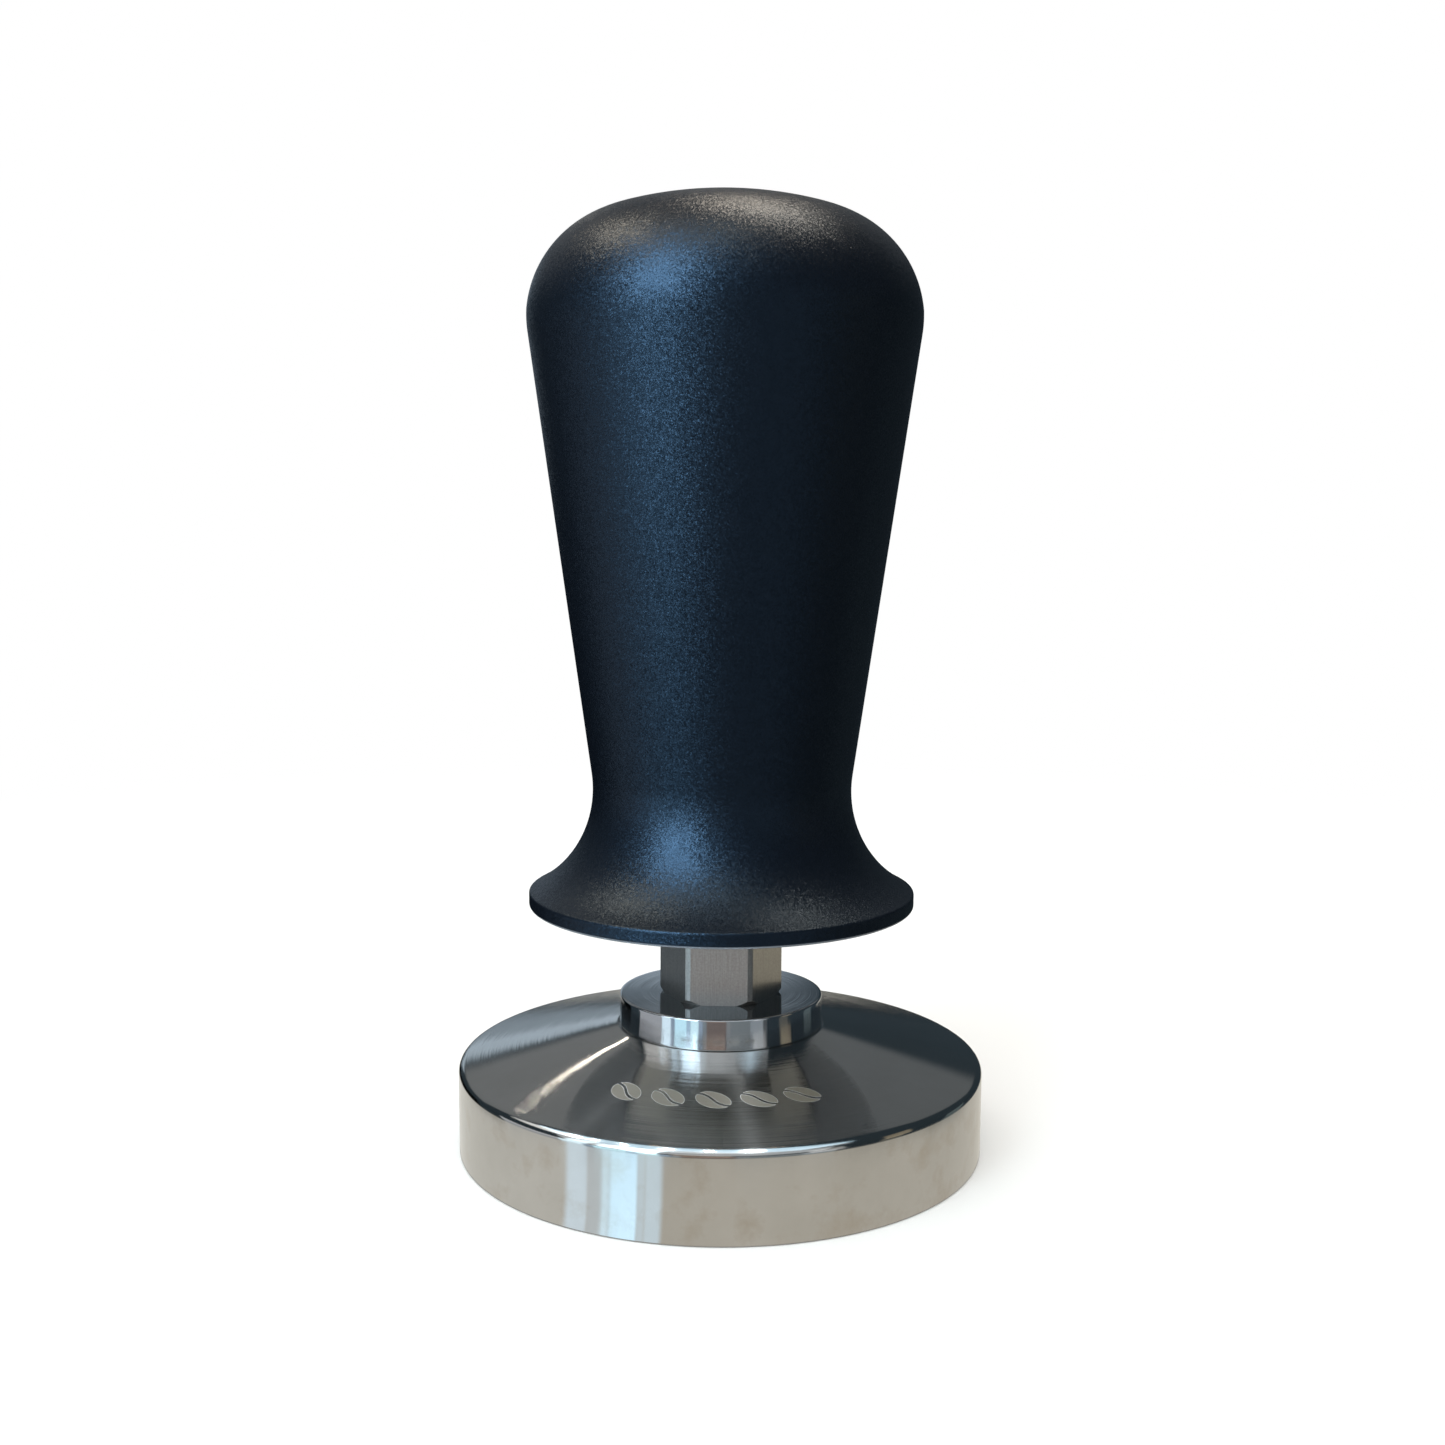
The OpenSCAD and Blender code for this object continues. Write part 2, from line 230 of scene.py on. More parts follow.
class Surface(Nodes):
    """A material being built: a Principled shader and the nodes that feed it."""

    def __init__(self, name, **sockets):
        self.material = bpy.data.materials.new(name)
        self.material.use_nodes = True
        super().__init__(self.material.node_tree)
        self.shader = self.tree.nodes["Principled BSDF"]
        for socket, value in sockets.items():
            self.shader.inputs[socket.replace("_", " ").title().replace("Ior", "IOR")].default_value = value
        self.place = self.add("ShaderNodeTexCoord").outputs["Object"]

    def stretched(self, x, y, z):
        """The place in the object's frame, scaled by x, y and z per metre."""
        return self.vector("MULTIPLY", self.place, (x, y, z))

    def turned(self, across, around=0.0):
        """Coordinates that follow a lathe tool: across per metre of radius and height, and around
        per radian about Z."""
        x, y, z = self.parts(self.place)
        radius = self.length(x, y)
        angle = self.math("ARCTAN2", y, x)
        return self.join(self.math("MULTIPLY", radius, across), self.math("MULTIPLY", z, across),
                         self.math("MULTIPLY", angle, around))

    def bump(self, height, distance):
        made = self.add("ShaderNodeBump")
        made.inputs["Strength"].default_value = 1.0
        made.inputs["Distance"].default_value = distance
        self.put(made.inputs["Height"], height)
        return made.outputs["Normal"]

    def ringed(self, across, tilt):
        """A normal that leans in and out from ring to ring, as on a turned surface."""
        normal = self.add("ShaderNodeNewGeometry").outputs["Normal"]
        x, y = self.parts(self.place)[:2]
        around = self.vector("NORMALIZE", self.join(self.math("MULTIPLY", y, -1.0), x, 0.0))
        along = self.vector("CROSS_PRODUCT", normal, around)
        rings = self.noise(self.turned(across, 0.4), 1, 2, 0.6)
        lean = self.math("MULTIPLY", self.math("SUBTRACT", rings, 0.5), tilt)
        scale = self.add("ShaderNodeVectorMath", operation="SCALE")
        self.put(scale.inputs[0], along)
        self.put(scale.inputs["Scale"], lean)
        return self.vector("NORMALIZE", self.vector("ADD", normal, scale.outputs["Vector"]))

    def beans(self):
        """Where a row of five coffee beans lies, on an arc round the front of the base's cone."""
        row_r = 20.3 * MM
        pitch = 4.6 * MM
        length = 1.95 * MM
        width = 1.35 * MM
        tilt = math.radians(28)
        x, y, z = self.parts(self.place)
        turn = self.math("ARCTAN2", x, self.math("MULTIPLY", y, -1.0))
        across = self.math("MULTIPLY", turn, row_r)
        out = self.math("SUBTRACT", self.length(x, y), row_r)
        within = self.span(self.math("ABSOLUTE", across), 2.5 * pitch, 2.49 * pitch)
        here = self.math("WRAP", across, pitch / 2, -pitch / 2)
        u = self.math("ADD", self.math("MULTIPLY", here, math.cos(tilt)),
                      self.math("MULTIPLY", out, math.sin(tilt)))
        v = self.math("SUBTRACT", self.math("MULTIPLY", out, math.cos(tilt)),
                      self.math("MULTIPLY", here, math.sin(tilt)))
        u = self.math("DIVIDE", u, length)
        v = self.math("DIVIDE", v, width)
        bean = self.span(self.length(u, v), 1.0, 0.96)
        crease = self.math("MULTIPLY", self.math("SINE", self.math("MULTIPLY", u, 2.6)), 0.24)
        slit = self.span(self.math("ABSOLUTE", self.math("SUBTRACT", v, crease)), 0.10, 0.15)
        upper = self.span(z, 9.7 * MM, 9.8 * MM)
        shown = self.math("MULTIPLY", self.math("MULTIPLY", bean, slit), within)
        return self.math("MULTIPLY", shown, upper)

    def set(self, socket, value):
        self.put(self.shader.inputs[socket], value)

    def radial_tangent(self):
        """Lays the shader's grain round Z."""
        self.set("Tangent", self.add("ShaderNodeTangent", direction_type="RADIAL", axis="Z").outputs[0])


def anodised():
    """Bead-blasted aluminium under black anodising. Each tiny dimple tilts the surface its own way, so
    the grain sparkles where a light is reflected."""
    s = Surface("black_anodised", ior=1.5, specular_tint=(0.42, 0.68, 1.0, 1))
    mottle = s.noise(s.place, 900, 4, 0.6)
    black = s.blend(mottle, (0.0010, 0.0013, 0.0022), (0.0022, 0.0028, 0.0044))
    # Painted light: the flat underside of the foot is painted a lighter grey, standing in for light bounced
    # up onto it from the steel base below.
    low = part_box("handle_body")[0].z
    under = s.span(s.parts(s.place)[2], low + 0.3 * MM, low + 0.2 * MM)
    s.set("Base Color", s.blend(under, black, (0.15, 0.155, 0.165)))
    tilted = s.add("ShaderNodeNewGeometry").outputs["Normal"]
    for scale, tilt in ((11500, 0.27), (6000, 0.12)):
        dimples = s.add("ShaderNodeTexVoronoi", feature="F1")
        s.put(dimples.inputs["Vector"], s.place)
        dimples.inputs["Scale"].default_value = scale
        lean = s.vector("SUBTRACT", dimples.outputs["Color"], (0.5, 0.5, 0.5))
        tilted = s.vector("ADD", tilted, s.vector("MULTIPLY", lean, (tilt, tilt, tilt)))
    s.set("Normal", s.vector("NORMALIZE", tilted))
    s.set("Roughness", s.span(s.noise(s.place, 3000, 2, 0.6), 0.3, 0.7, 0.34, 0.40))
    return s.material


def polished_steel():
    """Turned and polished stainless steel, with the fine rings that the tool leaves, a wiped film and
    a row of coffee beans etched on the front of the cone."""
    s = Surface("polished_steel", anisotropic=1.0, anisotropic_rotation=0.25)
    height = s.parts(s.place)[2]
    side = s.span(height, 9.3 * MM, 9.1 * MM)
    smudge = s.noise(s.place, 130, 4, 0.6)
    steel = s.blend(smudge, (0.46, 0.45, 0.42), (0.58, 0.57, 0.55))
    finger_marks = s.span(s.noise(s.place, 240, 4, 0.6), 0.52, 0.72)
    steel = s.blend(s.math("MULTIPLY", finger_marks, side), steel, (0.47, 0.44, 0.395))
    beans = s.beans()
    s.set("Base Color", s.blend(beans, steel, (0.062, 0.055, 0.040)))
    s.set("Metallic", s.math("SUBTRACT", 1.0, s.math("MULTIPLY", beans, 0.85)))
    wiped = s.span(s.noise(s.turned(0, 3.0), 1, 5, 0.65), 0.35, 0.65, 0.09, 0.14)
    rough = s.math("SUBTRACT", wiped, s.math("MULTIPLY", side, 0.02))
    s.set("Roughness", s.math("ADD", rough, s.math("MULTIPLY", beans, 0.50)))
    s.set("Normal", s.ringed(20000, s.math("SUBTRACT", 0.36, s.math("MULTIPLY", side, 0.30))))
    s.radial_tangent()
    return s.material


def mirror_steel():
    """Stainless steel polished almost to a mirror."""
    s = Surface("mirror_steel", metallic=1.0, anisotropic=0.9, anisotropic_rotation=0.25)
    smudge = s.noise(s.place, 200, 3, 0.6)
    s.set("Base Color", s.blend(smudge, (0.54, 0.54, 0.54), (0.62, 0.63, 0.64)))
    s.set("Roughness", s.span(smudge, 0.3, 0.7, 0.06, 0.09))
    s.set("Normal", s.ringed(16000, 0.06))
    s.radial_tangent()
    return s.material


def drawn_steel():
    """Hexagonal bar with the lengthwise grain of the drawing die, dulled by handling."""
    s = Surface("milled_steel", metallic=1.0, anisotropic=0.6)
    grain = s.noise(s.stretched(9000, 9000, 300), 1, 4, 0.65)
    dust = s.noise(s.place, 4500, 2, 0.6)
    s.set("Base Color", s.blend(s.math("MULTIPLY", grain, s.span(dust, 0.3, 0.7, 0.7, 1.3)),
                                (0.22, 0.21, 0.20), (0.50, 0.485, 0.46)))
    s.set("Roughness", s.span(grain, 0.3, 0.7, 0.30, 0.40))
    s.set("Normal", s.bump(grain, 0.006 * MM))
    s.radial_tangent()
    return s.material


def plain_metal(name, dark, light, roughness):
    """A turned steel, bronze or aluminium piece from inside the handle."""
    s = Surface(name, metallic=1.0, roughness=roughness)
    marks = s.noise(s.turned(6000), 1, 3, 0.6)
    s.set("Base Color", s.blend(marks, dark, light))
    s.set("Roughness", s.span(marks, 0.3, 0.7, roughness - 0.06, roughness + 0.06))
    s.set("Normal", s.bump(marks, 0.003 * MM))
    return s.material


def plain_solid(name, dark, light, roughness, grain_scale):
    """Rubber, acetal or oxide-blackened steel, with a fine mottled grain."""
    s = Surface(name, roughness=roughness)
    grain = s.noise(s.place, grain_scale, 4, 0.6)
    s.set("Base Color", s.blend(grain, dark, light))
    s.set("Roughness", s.span(grain, 0.3, 0.7, roughness - 0.08, roughness + 0.08))
    s.set("Normal", s.bump(grain, 0.01 * MM))
    return s.material


materials = {
    "black_anodised": anodised(),
    "polished_steel": polished_steel(),
    "mirror_steel": mirror_steel(),
    "milled_steel": drawn_steel(),
    "turned_steel": plain_metal("turned_steel", (0.34, 0.34, 0.35), (0.56, 0.56, 0.57), 0.36),
    "spring_steel": plain_metal("spring_steel", (0.26, 0.26, 0.28), (0.44, 0.44, 0.46), 0.36),
    "bronze": plain_metal("bronze", (0.42, 0.27, 0.11), (0.62, 0.43, 0.20), 0.36),
    "bare_aluminium": plain_metal("bare_aluminium", (0.78, 0.77, 0.74), (0.90, 0.89, 0.86), 0.58),
    "black_steel": plain_solid("black_steel", (0.012, 0.012, 0.014), (0.030, 0.029, 0.030), 0.40, 2500),
    "acetal": plain_solid("acetal", (0.70, 0.69, 0.64), (0.80, 0.79, 0.75), 0.45, 1800),
    "black_rubber": plain_solid("black_rubber", (0.010, 0.010, 0.010), (0.024, 0.024, 0.024), 0.70, 3000),
}
slot_of_node = {row["node"]: row["material_slot"] for row in frame["record"]["subparts"]}


def fit_out(piece, node, body, material=None):
    """Makes a piece stand for a CAD node: its body, its record slot and its material."""
    piece.data.materials.clear()
    piece.data.materials.append(materials[material or slot_of_node[node]])
    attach(piece, body)
    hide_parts(node)
    return piece


# ---- Base ----------------------------------------------------------------------------------------

def make_base():
    base_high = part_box("tamping_base")[1]
    r = base_high.x
    landing_z = base_high.z
    rim_z = 9.526 * MM
    landing_r = 11.55 * MM
    recess_r = 7.1 * MM
    recess_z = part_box("stop_collar")[0].z - 0.1 * MM
    hole_r = 4.05 * MM
    hole_z = 4.5 * MM
    outline = rounded([
        (0, 0, 0), (r, 0, 0.2 * MM), (r, rim_z, 0.8 * MM), (landing_r, landing_z, 0.1 * MM),
        (recess_r, landing_z, 0.1 * MM), (recess_r, recess_z, 0), (hole_r, recess_z, 0),
        (hole_r, hole_z, 0), (0, hole_z, 0)])
    return fit_out(lathe("tamping_base_turned", outline), "tamping_base", "base")


def make_collar():
    low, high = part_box("stop_collar")
    r = high.x
    landing_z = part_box("tamping_base")[1].z
    bore_r = 4.1 * MM
    spigot_r = 7 * MM
    outline = rounded([
        (bore_r, low.z, 0.1 * MM), (spigot_r, low.z, 0.2 * MM), (spigot_r, landing_z, 0),
        (r, landing_z, 0.12 * MM), (r, high.z, 0.2 * MM), (bore_r, high.z, 0.1 * MM)])
    return fit_out(lathe("stop_collar_turned", outline, ring=True), "stop_collar", "base", "mirror_steel")


def make_shaft():
    """Hexagonal bar whose corners are turned down, with a turned chamfer at each end."""
    low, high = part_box("plunger_shaft")
    flat = high.y
    corner_r = high.x
    end_r = corner_r - 0.45 * MM
    chamfer_h = 0.5 * MM
    chamfer_steps = 5
    flat_steps = 12
    corner_steps = 4
    rings = [(low.z + chamfer_h * k / chamfer_steps, k / chamfer_steps) for k in range(chamfer_steps + 1)]
    rings += [(high.z - chamfer_h * k / chamfer_steps, k / chamfer_steps)
              for k in range(chamfer_steps, -1, -1)]
    turn = Matrix.Rotation(math.radians(30), 3, "Z")
    points, rows = [], []
    for z, share in rings:
        turned_r = end_r + (corner_r - end_r) * share
        reach = math.acos(flat / turned_r)
        row = []
        for side in range(6):
            middle = math.radians(60 * side)
            for k in range(flat_steps):
                across = math.tan(reach) * (2 * k / flat_steps - 1) * flat
                row.append((flat * math.cos(middle) - across * math.sin(middle),
                            flat * math.sin(middle) + across * math.cos(middle), z))
            for k in range(corner_steps):
                angle = middle + reach + (math.radians(60) - 2 * reach) * k / corner_steps
                row.append((turned_r * math.cos(angle), turned_r * math.sin(angle), z))
        rows.append(range(len(points), len(points) + len(row)))
        points += [tuple(turn @ Vector(p)) for p in row]
    count = len(rows[0])
    faces = [[lower[k], lower[(k + 1) % count], upper[(k + 1) % count], upper[k]]
             for lower, upper in zip(rows, rows[1:]) for k in range(count)]
    faces += [list(reversed(rows[0])), list(rows[-1])]
    return fit_out(make_mesh("plunger_shaft_hexagon", points, faces, sharp=12), "plunger_shaft", "base")


# ---- Handle --------------------------------------------------------------------------------------

def handle_outline():
    """The outside of the handle from the foot's rim up: its flare, and then the rest, which ends at
    the top of the crown."""
    low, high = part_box("handle_body")
    foot_r = high.x
    rim_z = low.z + 1.6 * MM
    waist_r = 14.2 * MM
    waist_z = low.z + 12.8 * MM
    palm_r = 21.1 * MM
    palm_z = low.z + 62.75 * MM
    shoulder_r = 11.8 * MM
    palm_ease = 2.4 * MM

    flare_r = ((waist_z - rim_z) ** 2 + (foot_r - waist_r) ** 2) / (2 * (foot_r - waist_r))
    flare_x = waist_r + flare_r
    reach = math.hypot(palm_r - flare_x, palm_z - waist_z)
    leave = math.atan2(palm_z - waist_z, palm_r - flare_x) + math.acos(flare_r / reach)
    foot_angle = math.degrees(math.atan2(rim_z - waist_z, foot_r - flare_x)) % 360
    flare = arc(flare_x, waist_z, flare_r, foot_angle, math.degrees(leave), 28)
    taper_start = Vector(flare[-1])

    shoulder_x = palm_r - shoulder_r
    rise = high.z - palm_z
    crown_r = (shoulder_x ** 2 + rise ** 2 - shoulder_r ** 2) / (2 * (rise - shoulder_r))
    meet = math.degrees(math.atan2(palm_z - (high.z - crown_r), shoulder_x))
    ease_angle = math.degrees(palm_ease / 2 / shoulder_r)
    shoulder = arc(shoulder_x, palm_z, shoulder_r, ease_angle, meet, 24)
    crown = arc(0, high.z - crown_r, crown_r, meet, 90, 14)[1:]

    corner = Vector((palm_r, palm_z))
    ease_start = corner - (corner - taper_start).normalized() * palm_ease / 2
    ease_end = Vector(shoulder[0])
    ease = []
    for k in range(7):
        t = k / 6
        ease.append(tuple(ease_start * (1 - t) ** 2 + corner * 2 * t * (1 - t) + ease_end * t ** 2))
    taper_rows = [tuple(taper_start.lerp(ease_start, k / 10)) for k in range(1, 10)]
    return flare, taper_rows + ease + shoulder[1:] + crown


def make_handle():
    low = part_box("handle_body")[0]
    sleeve_low, sleeve_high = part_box("bore_sleeve")
    bore_r = 11 * MM
    bore_top = sleeve_high.z
    mouth_r = 13.05 * MM
    seal_top = sleeve_low.z + 1 * MM
    flare, rest = handle_outline()
    edge = flare[0]
    lower = rounded([
        (bore_r, bore_top, 0), (bore_r, seal_top, 0), (mouth_r, seal_top, 0), (mouth_r, low.z, 0.3 * MM),
        (edge[0], low.z, 0.35 * MM), (edge[0], edge[1], 0.3 * MM), (flare[2][0], flare[2][1], 0)])
    outline = [(0, bore_top)] + lower + flare[3:] + rest
    return fit_out(lathe("handle_body_turned", outline), "handle_body", "handle")


# ---- Spring --------------------------------------------------------------------------------------

def make_spring():
    """Compression spring with closed, ground ends, swept along its own helix."""
    low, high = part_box("main_spring")
    wire_r = 1.1 * MM
    coil_r = high.x - wire_r
    length = high.z - low.z
    active_coils = 9
    closed_pitch = 2.3 * MM
    first = wire_r / 2
    pitch = (length - 2 * (first + closed_pitch)) / active_coils
    turns = active_coils + 2
    sides = 14
    steps = 48 * turns

    def centre_z(turn):
        if turn < 1:
            return first + closed_pitch * turn
        if turn < active_coils + 1:
            return first + closed_pitch + pitch * (turn - 1)
        return length - first - closed_pitch * (turns - turn)

    points = []
    for i in range(steps + 1):
        turn = turns * i / steps
        for j in range(sides):
            around = math.tau * (j + 0.5) / sides
            r = coil_r + wire_r * math.cos(around)
            z = min(length, max(0, centre_z(turn) + wire_r * math.sin(around)))
            points.append((r * math.cos(math.tau * turn), r * math.sin(math.tau * turn), low.z + z))
    faces = [[i * sides + j, i * sides + (j + 1) % sides,
              (i + 1) * sides + (j + 1) % sides, (i + 1) * sides + j]
             for i in range(steps) for j in range(sides)]
    faces += [list(range(sides - 1, -1, -1)), [steps * sides + j for j in range(sides)]]
    spring = fit_out(make_mesh("main_spring_coil", points, faces, sharp=40), "main_spring", "base")
    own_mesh(spring)
    return spring


make_base()
make_collar()
make_shaft()
make_handle()
make_spring()

for node_name, node in frame["nodes"].items():
    if not node.hide_render:
        node.data.materials.clear()
        node.data.materials.append(materials[slot_of_node[node_name]])


# ---- Studio --------------------------------------------------------------------------------------

def direction(azimuth, elevation):
    """A unit vector: azimuth 0 points to -Y, 90 to +X, and elevation is above the horizon."""
    a, e = math.radians(azimuth), math.radians(elevation)
    return Vector((math.sin(a) * math.cos(e), -math.cos(a) * math.cos(e), math.sin(e)))


def softbox(name, azimuth, elevation, width, height, radiance, colour, only=None, glossy=True, diffuse=True):
    """An area light on a sphere round the tamper, width by height degrees, facing its middle. With
    only, it lights the pieces of that group and no others."""
    distance = 0.8
    data = bpy.data.lights.new(name, "AREA")
    data.shape = "RECTANGLE"
    data.size = 2 * distance * math.tan(math.radians(width / 2))
    data.size_y = 2 * distance * math.tan(math.radians(height / 2))
    data.energy = 4 * radiance * data.size * data.size_y
    data.color = colour
    light = bpy.data.objects.new(name, data)
    bpy.context.scene.collection.objects.link(light)
    towards = direction(azimuth, elevation)
    light.location = Vector((0, 0, 0.04)) + towards * distance
    light.rotation_euler = towards.to_track_quat("Z", "Y").to_euler()
    light.visible_camera = False
    light.visible_glossy = glossy
    light.visible_diffuse = diffuse
    light.light_linking.receiver_collection = only


def light_group(name, *pieces):
    """A group of pieces that a softbox can be kept to."""
    group = bpy.data.collections.new(name)
    for piece in pieces:
        group.objects.link(bpy.data.objects[piece])
    return group


class Sky(Nodes):
    """The world being built: a dim room, with soft panels of light added one by one."""

    def __init__(self):
        world = bpy.data.worlds.new("studio")
        bpy.context.scene.world = world
        world.use_nodes = True
        super().__init__(world.node_tree)
        self.tree.nodes.clear()
        towards = self.add("ShaderNodeTexCoord").outputs["Generated"]
        x, y, z = self.parts(towards)
        self.azimuth = self.math("DEGREES", self.math("ARCTAN2", x, self.math("MULTIPLY", y, -1.0)))
        self.elevation = self.math("DEGREES", self.math("ARCSINE", z))
        self.colour = (0.0, 0.0, 0.0)

    def panel(self, azimuth, elevation, width, height, soft, radiance, colour):
        """Adds light round a direction. width and height are degrees, and so is the soft edge."""
        off = self.math("WRAP", self.math("SUBTRACT", self.azimuth, azimuth), 180.0, -180.0)
        across = self.span(self.math("ABSOLUTE", off), (width + soft) / 2, (width - soft) / 2, smooth=True)
        off = self.math("ABSOLUTE", self.math("SUBTRACT", self.elevation, elevation))
        up = self.span(off, (height + soft) / 2, (height - soft) / 2, smooth=True)
        light = self.blend(self.math("MULTIPLY", across, up), (0.0, 0.0, 0.0),
                           tuple(radiance * c for c in colour))
        self.colour = self.blend(1.0, self.colour, light, "ADD")

    def finish(self):
        """White to the camera, and the room to everything else."""
        room = self.add("ShaderNodeBackground")
        self.put(room.inputs["Color"], self.colour)
        white = self.add("ShaderNodeBackground")
        white.inputs["Color"].default_value = (1, 1, 1, 1)
        mix = self.add("ShaderNodeMixShader")
        self.put(mix.inputs[0], self.add("ShaderNodeLightPath").outputs["Is Camera Ray"])
        self.put(mix.inputs[1], room.outputs[0])
        self.put(mix.inputs[2], white.outputs[0])
        self.put(self.add("ShaderNodeOutputWorld").inputs["Surface"], mix.outputs[0])


# Streaks on the sheet round the base, in degrees as the base's side reflects them: from, to, soft
# edge and radiance
SHEET_STREAKS = [
    (-200, -59, 3, (0.80, 0.79, 0.74)), (-66.5, -55, 4, (1.06, 1.24, 1.40)),
    (-55, -48.5, 2, (0.84, 0.92, 0.98)), (-48.5, -44.5, 3, (1.12, 1.42, 1.64)),
    (-44.5, -31.5, 3, (1.25, 1.74, 2.14)), (-31.5, -28.5, 2, (0.92, 1.08, 1.20)),
    (-28.5, -21, 3, (0.96, 1.14, 1.28)),
]


def make_floor():
    """A pale floor that fades to white far off. In reflections it is a glowing sheet round the base,
    with the room past it."""
    size = 0.32
    base_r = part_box("tamping_base")[1].x
    fan_r = 16 * MM    # draws the streaks apart near the base, as its round side draws them together
    floor = make_mesh("floor", [(-size, -size, 0), (size, -size, 0), (size, size, 0), (-size, size, 0)],
                      [[0, 1, 2, 3]], sharp=30)
    s = Surface("floor", roughness=0.9)
    x, y = s.parts(s.place)[:2]
    radius = s.length(x, y)
    s.set("Base Color", s.blend(s.noise(s.place, 40, 3, 0.5), (0.80, 0.78, 0.74), (0.82, 0.80, 0.76)))
    white = s.add("ShaderNodeEmission")
    far = s.add("ShaderNodeMixShader")
    s.put(far.inputs[0], s.span(radius, 100 * MM, 300 * MM, smooth=True))
    s.put(far.inputs[1], s.shader.outputs[0])
    s.put(far.inputs[2], white.outputs[0])
    # The sheet reaches 45 mm to each side, 55 mm to the front and 125 mm to the back
    out = s.length(x, s.math("MINIMUM", s.math("ADD", y, 10 * MM), 0.0))
    past_sides = s.span(out, 43.5 * MM, 47.5 * MM, smooth=True)
    past_back = s.span(radius, 110 * MM, 140 * MM, smooth=True)
    around = s.math("DEGREES", s.math("ARCTAN2", x, s.math("MULTIPLY", y, -1.0)))
    around = s.math("DIVIDE", around, s.math("SUBTRACT", 1.0, s.math("DIVIDE", fan_r, radius)))
    colour = (0.70, 0.67, 0.60)
    for start, end, soft, streak in SHEET_STREAKS:
        off = s.math("ABSOLUTE", s.math("SUBTRACT", around, (start + end) / 2))
        inside = s.span(off, (end - start + soft) / 2, (end - start - soft) / 2, smooth=True)
        colour = s.blend(inside, colour, streak)
    # Painted shade: in reflections the sheet is darker right under the base, where the base's own shadow
    # falls.
    painted_shade_under_base = s.span(radius, base_r + 0.2 * MM, base_r)
    colour = s.blend(painted_shade_under_base, colour, (0.45, 0.44, 0.42))
    sheet = s.add("ShaderNodeEmission")
    s.put(sheet.inputs["Color"], colour)
    mirrored = s.add("ShaderNodeMixShader")
    s.put(mirrored.inputs[0], s.math("MAXIMUM", past_sides, past_back))
    s.put(mirrored.inputs[1], sheet.outputs[0])
    s.put(mirrored.inputs[2], s.add("ShaderNodeBsdfTransparent").outputs[0])
    seen = s.add("ShaderNodeMixShader")
    s.put(seen.inputs[0], s.add("ShaderNodeLightPath").outputs["Is Glossy Ray"])
    s.put(seen.inputs[1], far.outputs[0])
    s.put(seen.inputs[2], mirrored.outputs[0])
    s.put(s.tree.nodes["Material Output"].inputs["Surface"], seen.outputs[0])
    floor.data.materials.append(s.material)


# Columns of light and shade just below the horizon, which the collar reflects: from and to in
# degrees, and radiance
LOW_COLUMNS = [
    (-101, -67, (0.46, 0.47, 0.50)), (-67, -55.5, (1.05, 1.30, 1.47)), (-55.5, -50.5, (0.33, 0.43, 0.55)),
    (-50.5, -36.5, (0.84, 1.30, 1.52)), (-36.5, -31.5, (0.50, 0.72, 0.92)),
    (-31.5, -22.5, (0.92, 1.28, 1.42)), (-22.5, -18, (0.36, 0.46, 0.60)), (-18, -13.5, (0.23, 0.27, 0.30)),
    (-13.5, 8.5, (0.17, 0.12, 0.10)), (8.5, 13, (0.25, 0.26, 0.27)), (13, 35.5, (0.20, 0.22, 0.23)),
    (35.5, 50.5, (0.31, 0.34, 0.37)), (50.5, 55.5, (0.07, 0.07, 0.07)), (71, 83, (0.08, 0.07, 0.05)),
    (110, 125, (0.08, 0.10, 0.10)),
]

COOL = (0.60, 0.82, 1.0)
PALE = (0.90, 0.95, 1.0)
WARM = (1.0, 0.76, 0.52)
TAN = (1.0, 0.80, 0.60)
LAMPLIGHT = (1.0, 0.79, 0.58)
WHITE = (1.0, 1.0, 1.0)
ROOM = (0.55, 0.80, 1.0)
SKYLIGHT = (0.72, 0.86, 1.0)

# The room and its windows: azimuth, elevation, width, height, soft edge, radiance and colour
SKY_PANELS = [
    (0, 45, 360, 92, 4, 0.06, ROOM), (25, -46, 290, 88, 4, 0.06, ROOM),
    (-39.5, 28, 19, 46, 3, 3.5, COOL), (-31, 5, 12, 13, 5, 3.0, COOL), (-58.5, 20, 10, 44, 2, 1.6, COOL),
    (-26, 20, 5, 44, 2, 4.0, COOL), (-44, 24, 40, 50, 8, 0.4, PALE), (-10, 52, 60, 28, 10, 0.8, PALE),
    (-5, 3, 24, 24, 3, 0.25, (1.0, 0.72, 0.55)), (46, 3, 15, 24, 3, 0.45, WHITE),
    (80, 3, 14, 24, 3, 0.30, (1.0, 0.82, 0.55)), (-166, 4, 30, 6, 3, 0.40, SKYLIGHT),
    (-166, 12, 30, 7, 3, 0.70, SKYLIGHT), (-150, 32, 60, 28, 4, 0.20, WHITE),
    (160, 32, 40, 24, 4, 0.12, WHITE),
]


def make_sky():
    sky = Sky()
    for panel in SKY_PANELS:
        sky.panel(*panel)
    for start, end, colour in LOW_COLUMNS:
        middle = (start + end) / 2
        sky.panel(middle, -16.5, end - start, 16, 2, 1.0, colour)
        sky.panel(middle, -5.5, end - start, 6, 2, 1.7, colour)
    sky.finish()


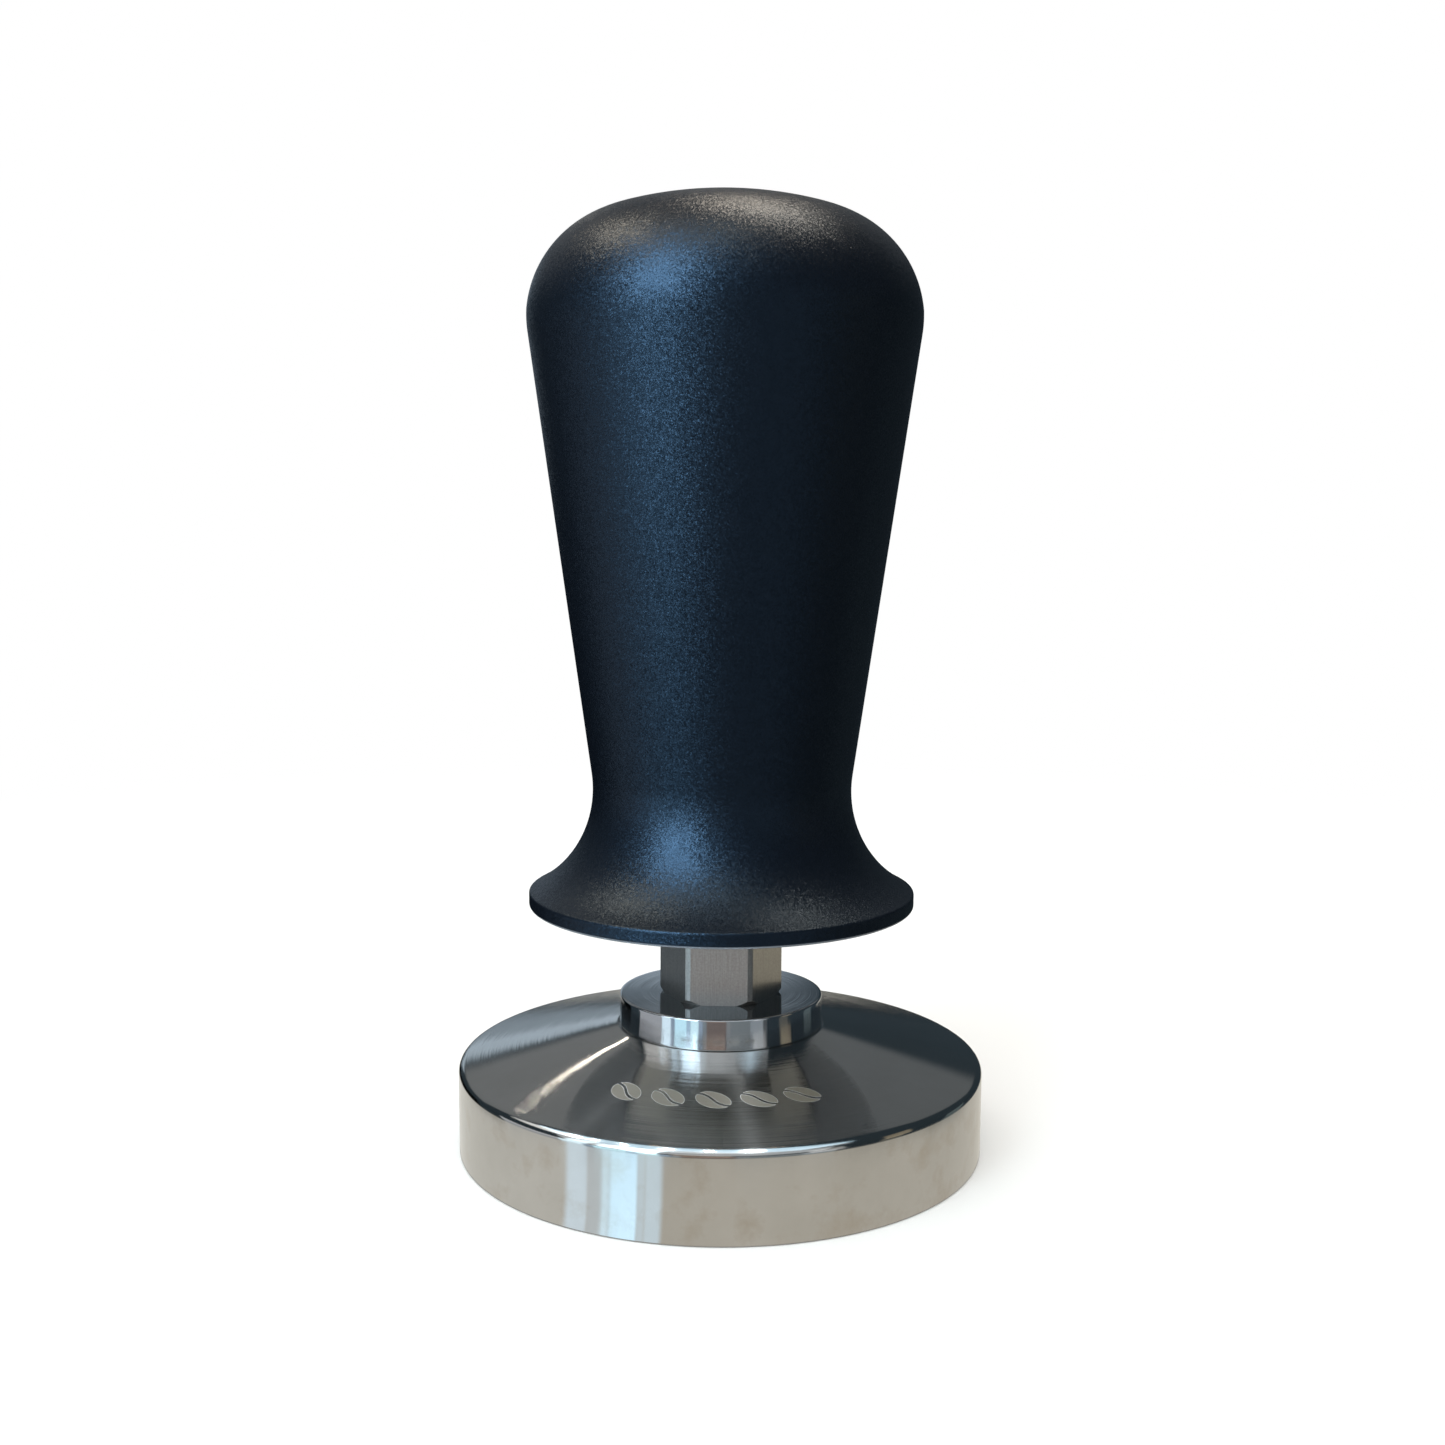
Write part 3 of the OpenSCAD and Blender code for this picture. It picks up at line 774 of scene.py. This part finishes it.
# Small bright lamps, as azimuth, elevation and size: their stars on the base's rim
STARS = [(-85, 50, 4.0), (-80, 56, 1.8), (-70, 63, 1.8), (-40, 68, 2.6), (-6, 68, 2.6), (27, 67, 5.0)]

# Azimuth, elevation and radiance of the lamps that make the handle's crown glow
CROWN_LAMPS = [(-85, 50, 70), (-78, 57, 70), (-66, 64, 55), (-43, 68, 55), (-22, 69, 120), (-3, 68, 100),
               (22, 66, 45)]


def make_lights():
    handle = light_group("handle_only", "handle_body_turned")
    steel = light_group("base_only", "tamping_base_turned", "stop_collar_turned")
    shaft = light_group("shaft_only", "plunger_shaft_hexagon")
    softbox("window", -37, 28, 15, 46, 13.0, COOL, handle)
    softbox("lamp_gold", -163, 27.3, 1.2, 0.25, 62, (1.0, 0.93, 0.80))
    for index, (azimuth, elevation, size) in enumerate(STARS):
        softbox(f"star_{index}", azimuth, elevation, size, size, 250, PALE, steel)
    for index, (azimuth, elevation, radiance) in enumerate(CROWN_LAMPS):
        softbox(f"lamp_{index}", azimuth, elevation, 2.0, 2.0, radiance, LAMPLIGHT, handle)
    softbox("bounce_left", -88, 41, 34, 20, 1.0, WHITE, steel)
    softbox("bounce_mid", -40, 43, 34, 14, 0.5, COOL, steel)
    softbox("bounce_high", 42, 42, 36, 16, 0.35, PALE, steel)
    softbox("ceiling", -20, 76, 90, 40, 1.3, COOL, steel)
    softbox("rim_fill", -10, 25, 110, 40, 0.5, PALE, steel)
    softbox("bounce_front", -2, -14, 24, 12, 0.5, (1.0, 0.86, 0.80), shaft)
    softbox("bounce_side", -120, -10, 30, 16, 0.12, COOL, shaft)
    softbox("bounce_right", 116, -12, 24, 14, 0.8, (1.0, 0.88, 0.66), shaft)
    softbox("lamp_left", -105, 56, 12, 8, 20, WARM, handle, diffuse=False)
    softbox("lamp_top", 147, 71, 32, 9, 15, TAN, handle, diffuse=False)
    softbox("floor_light", 0, 90, 110, 110, 1.45, WHITE, glossy=False)


make_sky()
make_floor()
make_lights()

bpy.context.scene.view_settings.view_transform = "Standard"
